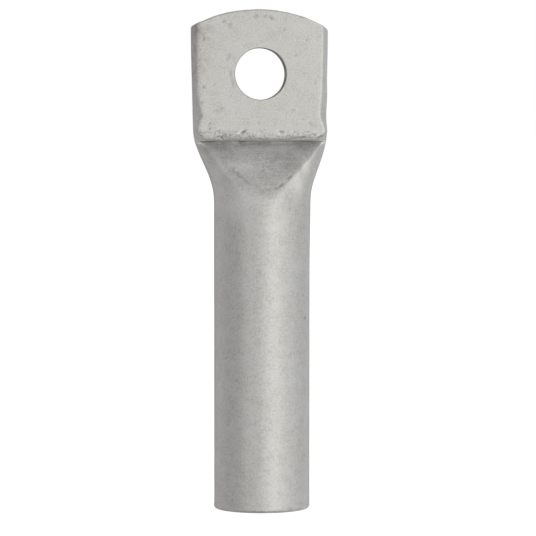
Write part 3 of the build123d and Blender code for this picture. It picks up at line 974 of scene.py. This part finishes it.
def tumbled_aluminium():
    """Annealed aluminium tube that was pressed, cleaned in acid and tumbled.

    It has no polish left: a pale, even grey with a sandy grain, small dark pits, dirt in its marks,
    painted shade in its hollows, under the lip and round the hole, brown tarnish at one corner,
    lighter metal where its edges rub, and painted highlights on the facets and cheeks.
    """
    material, tree = empty_material("tumbled_aluminium")
    place = node(tree, "ShaderNodeTexCoord").outputs["Object"]

    patterns = {}
    for name, size_mm, detail, rough, squeeze in (
        ("clouds", 7.0, 3.0, 0.55, (1, 1, 1)),
        ("mottle", 1.6, 3.0, 0.55, (1, 1, 1)),
        # Etched grain is about 0.1 mm, drawn at 0.3 mm so that it shows
        ("grain", 0.3, 2.0, 0.6, (1, 1, 1)),
        ("grit", 0.12, 1.0, 0.55, (1, 1, 1)),
        ("burrs", 0.3, 3.0, 0.65, (0.7, 1, 1)),
        ("blotches", 0.9, 3.0, 0.7, (1, 1, 1)),
        ("tinge", 1.3, 1.0, 0.55, (1, 1, 1)),
        # The saw's marks run across the mouth's face
        ("saw_marks", 0.25, 2.0, 0.6, (1, 0.03, 1)),
    ):
        where = node(tree, "ShaderNodeMapping", {"Vector": place, "Scale": squeeze})
        values = {"Vector": where, "Scale": 1 / (size_mm * MM), "Detail": detail, "Roughness": rough}
        patterns[name] = node(tree, "ShaderNodeTexNoise", values).outputs[0]

    marks = {}
    for name in ("wear_and_painted_light", "scuffed", "pit", "tarnish", "dirt_and_painted_shade", "wear", "sawn"):
        marks[name] = node(tree, "ShaderNodeAttribute", attribute_name=name).outputs["Fac"]

    # Small dark specks, in two cells out of five, each of its own size
    cells = node(tree, "ShaderNodeTexVoronoi", {"Vector": place, "Scale": 1 / (0.85 * MM)})
    chance = node(tree, "ShaderNodeSeparateColor", {0: cells.outputs["Color"]}).outputs
    chosen = node(tree, "ShaderNodeMath", {0: chance[0], 1: 0.6}, operation="GREATER_THAN")
    radius = node(
        tree, "ShaderNodeMapRange", {"Value": chance[1], "To Min": 0.08, "To Max": 0.24},
        interpolation_type="SMOOTHSTEP",
    )
    speck = node(
        tree, "ShaderNodeMapRange",
        {"Value": cells, "From Min": 0.0, "From Max": radius, "To Min": 1.0, "To Max": 0.0},
        interpolation_type="SMOOTHSTEP",
    )
    speck = node(tree, "ShaderNodeMath", {0: speck, 1: chosen}, operation="MULTIPLY")
    marks["speck"] = speck.outputs[0]

    # The tarnish goes from brown to olive
    tinge = node(
        tree, "ShaderNodeMapRange", {"Value": patterns["tinge"], "From Min": 0.42, "From Max": 0.58},
        interpolation_type="SMOOTHSTEP",
    )
    tarnish = node(
        tree, "ShaderNodeMix", {0: tinge, 6: linear("#7C6F60"), 7: linear("#77766A")}, data_type="RGBA"
    )

    # Layers of colour over the bare grey. Each lies on one mark or everywhere, fades in between
    # two values of a pattern, from one share to another, and is even where the two are alike.
    colour = linear("#A9A7A3")
    shares = {}
    for mark, pattern, low, high, least, most, tint in (
        (None, "clouds", 0.3, 0.7, 0.0, 1.0, linear("#B0B0AE")),
        (None, "mottle", 0.3, 0.75, 0.0, 0.7, linear("#9A9893")),
        (None, "grain", 0.3, 0.7, 0.0, 0.8, linear("#BCBBB7")),
        # Wear on raised burrs, and painted highlights on the facets, cheeks, the lip's foot and the
        # palm's right half
        ("wear_and_painted_light", "mottle", 0.25, 0.6, 0.7, 1.0, linear("#E4E3E0")),
        ("speck", "grain", 0.3, 0.7, 0.5, 0.5, linear("#72706A")),
        ("scuffed", "burrs", 0.48, 0.34, 0.0, 0.6, linear("#6E6C66")),
        ("scuffed", "burrs", 0.54, 0.68, 0.0, 0.7, linear("#D2D0CB")),
        ("pit", "grain", 0.3, 0.7, 0.5, 0.5, linear("#7A7872")),
        ("tarnish", "blotches", 0.3, 0.68, 0.0, 1.0, tarnish.outputs[2]),
        # Dirt in the marks, and painted shade in the hollows, under the lip and round the hole and mouth
        ("dirt_and_painted_shade", "mottle", 0.2, 0.65, 0.55, 1.0, linear("#5C5852")),
        ("wear", "grain", 0.3, 0.7, 0.3, 0.3, linear("#C4C2BF")),
    ):
        limits = {"From Min": low, "From Max": high, "To Min": least, "To Max": most}
        share = node(
            tree, "ShaderNodeMapRange", {"Value": patterns[pattern], **limits},
            interpolation_type="SMOOTHSTEP",
        )
        if mark:
            share = node(tree, "ShaderNodeMath", {0: share, 1: marks[mark]}, operation="MULTIPLY")
        shares[mark] = share
        mixed = node(tree, "ShaderNodeMix", {0: share, 6: colour, 7: tint}, data_type="RGBA")
        colour = mixed.outputs[2]

    # The grain scatters the light a little unevenly, and the dirt and painted shade make it rougher
    rough = node(
        tree, "ShaderNodeMapRange",
        {"Value": patterns["grain"], "From Min": 0.25, "From Max": 0.75, "To Min": 0.34, "To Max": 0.42},
        interpolation_type="SMOOTHSTEP",
    )
    rough = node(tree, "ShaderNodeMath", {0: shares["dirt_and_painted_shade"], 1: 0.2, 2: rough}, operation="MULTIPLY_ADD")

    # What the bump adds to the mesh's own relief, each with its height
    burrs = node(
        tree, "ShaderNodeMath", {0: patterns["burrs"], 1: marks["scuffed"]}, operation="MULTIPLY"
    )
    sawn = node(
        tree, "ShaderNodeMath", {0: patterns["saw_marks"], 1: marks["sawn"]}, operation="MULTIPLY"
    )
    height = 0.0
    for part, strength in (
        (patterns["grain"], 0.6), (patterns["grit"], 0.4), (speck, -1.0), (burrs, 7.0), (sawn, 2.5),
    ):
        height = node(tree, "ShaderNodeMath", {0: part, 1: strength, 2: height}, operation="MULTIPLY_ADD")
    bump = node(tree, "ShaderNodeBump", {"Strength": 1.0, "Distance": 0.007 * MM, "Height": height})
    shader = node(
        tree, "ShaderNodeBsdfPrincipled",
        {"Base Color": colour, "Metallic": 1.0, "Roughness": rough, "Normal": bump},
    )
    node(tree, "ShaderNodeOutputMaterial", {"Surface": shader})
    return material


aluminium = tumbled_aluminium()
skin = build_skin()
lug = make_mesh("lug_skin", skin)
finish_skin(lug, skin.kinds)
relief = {
    "Swell Size": 4.5 * MM, "Swell Depth": 0.04 * MM, "Pit Spacing": 1.5 * MM,
    "Pit Radius": 0.45 * MM, "Pit Depth": 0.035 * MM, "Seed": 3.0,
}
apply_tree(lug, relief_tree(aluminium), relief)
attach(lug, "root")
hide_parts("cable_lug")

# Camera at the photo's viewing angle, with angles in degrees and distances in metres
VIEW_AZIMUTH = -4.3
VIEW_ELEVATION = 2.8
VIEW_DISTANCE = 0.5
FOCAL_PIXELS = 3000.3
IMAGE_PIXELS = 536
SENSOR_MM = 36.0
AIM_RIGHT, AIM_UP = 0.001484, -0.001393
low, high = (Vector(corner) for corner in cad_box)
centre = (low + high) / 2


def direction(azimuth, elevation):
    """Towards a place round the lug: azimuth 0 is in front, 90 to the right of it."""
    a, e = math.radians(azimuth), math.radians(elevation)
    return Vector((math.sin(a) * math.cos(e), -math.cos(a) * math.cos(e), math.sin(e)))


camera_data = bpy.data.cameras.new("camera")
camera_data.sensor_width = SENSOR_MM
camera_data.lens = FOCAL_PIXELS / IMAGE_PIXELS * SENSOR_MM
camera_data.clip_start = 0.01
camera_data.clip_end = 100.0
camera = bpy.data.objects.new("camera", camera_data)
camera.location = centre + direction(VIEW_AZIMUTH, VIEW_ELEVATION) * VIEW_DISTANCE
aim = centre + Vector((AIM_RIGHT, 0.0, AIM_UP))
camera.rotation_euler = (aim - camera.location).to_track_quat("-Z", "Y").to_euler()
bpy.context.scene.collection.objects.link(camera)
bpy.context.scene.camera = camera


def lamp(name, azimuth, elevation, distance, size, radiance, tint):
    """A soft box turned to the lug's middle; radiance 1 looks as bright as white paper."""
    data = bpy.data.lights.new(name, "AREA")
    data.shape = "RECTANGLE"
    data.size, data.size_y = size
    data.energy = radiance * math.pi * size[0] * size[1]
    data.color = linear(tint)[:3]
    made = bpy.data.objects.new(name, data)
    made.location = centre + direction(azimuth, elevation) * distance
    made.rotation_euler = (centre - made.location).to_track_quat("-Z", "Y").to_euler()
    bpy.context.scene.collection.objects.link(made)
    return made


def seen_directly(tree):
    """1 for rays from the camera and for those that the metal or glass sends on, otherwise 0."""
    path = node(tree, "ShaderNodeLightPath").outputs
    shown = path["Is Camera Ray"]
    for ray in ("Is Glossy Ray", "Is Transmission Ray"):
        shown = node(tree, "ShaderNodeMath", {0: shown, 1: path[ray]}, operation="MAXIMUM")
    return shown


def grey_card(name, azimuths, elevations, grey, tint):
    """A curved grey card round the lug, which the camera doesn't see and the metal does."""
    steps = 12
    across = np.linspace(*azimuths, steps + 1)
    points, faces = [], []
    for e in np.linspace(*elevations, steps + 1):
        points += [centre + direction(a, e) * CARD_DISTANCE for a in across]
    for r in range(steps):
        for c in range(steps):
            i = r * (steps + 1) + c
            faces.append((i, i + 1, i + steps + 2, i + steps + 1))
    mesh = bpy.data.meshes.new(name)
    mesh.from_pydata(points, [], faces)
    material, tree = empty_material(name)
    shade = node(tree, "ShaderNodeEmission", {"Color": linear(tint), "Strength": grey})
    node(tree, "ShaderNodeOutputMaterial", {"Surface": shade})
    mesh.materials.append(material)
    made = bpy.data.objects.new(name, mesh)
    made.visible_camera = False
    bpy.context.scene.collection.objects.link(made)


# The key lamps are a little warm, and what fills in from the sides is a little cool.
# Angles are in degrees, distances and sizes in metres.
CARD_DISTANCE = 3.0
LAMPS = (
    # Name, azimuth, elevation, distance, width and height, radiance, tint
    ("key_softbox", 28, 0, 2.0, (2.3, 3.6), 0.36, "#FFFDFA"),
    ("key_core", 24, 0, 2.0, (0.8, 3.6), 0.32, "#FFFDFA"),
    ("side_softbox", 72, 0, 2.0, (0.8, 2.4), 0.17, "#F5F8FF"),
)
GREY_CARDS = (
    # Name, azimuths, elevations, grey, tint
    ("left_card", (-105, -50), (-60, 60), 0.69, "#FDFBFE"),
    ("far_left_card", (-150, -105), (-60, 60), 0.78, "#FDFBFE"),
    ("back_card", (150, 210), (-60, 60), 0.5, "#FBFCFF"),
    ("right_card", (95, 150), (-60, 60), 0.95, "#FBFCFF"),
    ("top_card", (-80, 80), (34, 89), 0.8, "#FBFCFF"),
    ("bottom_card", (-80, 80), (-89, -34), 0.6, "#FBFCFF"),
)
for settings in LAMPS:
    lamp(*settings)
for settings in GREY_CARDS:
    grey_card(*settings)

# Pale floor, white to the camera where the light reaches it. The metal looks past it into the
# white all round, as if the lug stood on a sheet of clear glass.
FLOOR_GLOW = 0.66
FLOOR_REACH = 6.0
floor_mesh = bpy.data.meshes.new("floor")
corners = [(x * FLOOR_REACH, y * FLOOR_REACH, 0) for x, y in ((-1, -1), (1, -1), (1, 1), (-1, 1))]
floor_mesh.from_pydata(corners, [], [(0, 1, 2, 3)])
floor = bpy.data.objects.new("floor", floor_mesh)
paper, tree = empty_material("matt_white_paper")
shown = node(tree, "ShaderNodeMath", {0: seen_directly(tree), 1: FLOOR_GLOW}, operation="MULTIPLY")
matt = node(tree, "ShaderNodeBsdfDiffuse", {"Color": linear("#E8E8E6")})
glow = node(tree, "ShaderNodeEmission", {"Color": (1, 1, 1, 1), "Strength": shown})
both = node(tree, "ShaderNodeAddShader", {0: matt, 1: glow})
node(tree, "ShaderNodeOutputMaterial", {"Surface": both})
floor_mesh.materials.append(paper)
floor.visible_glossy = False
floor.visible_shadow = False
bpy.context.scene.collection.objects.link(floor)

# World: white to the camera and in the metal, softer as light
world = bpy.data.worlds.new("studio")
bpy.context.scene.world = world
world.use_nodes = True
tree = world.node_tree
tree.nodes.clear()
strength = node(
    tree, "ShaderNodeMapRange", {"Value": seen_directly(tree), "To Min": 0.5, "To Max": 1.0}
)
back = node(tree, "ShaderNodeBackground", {"Color": (1, 1, 1, 1), "Strength": strength})
node(tree, "ShaderNodeOutputWorld", {"Surface": back})

bpy.context.scene.view_settings.view_transform = "Standard"
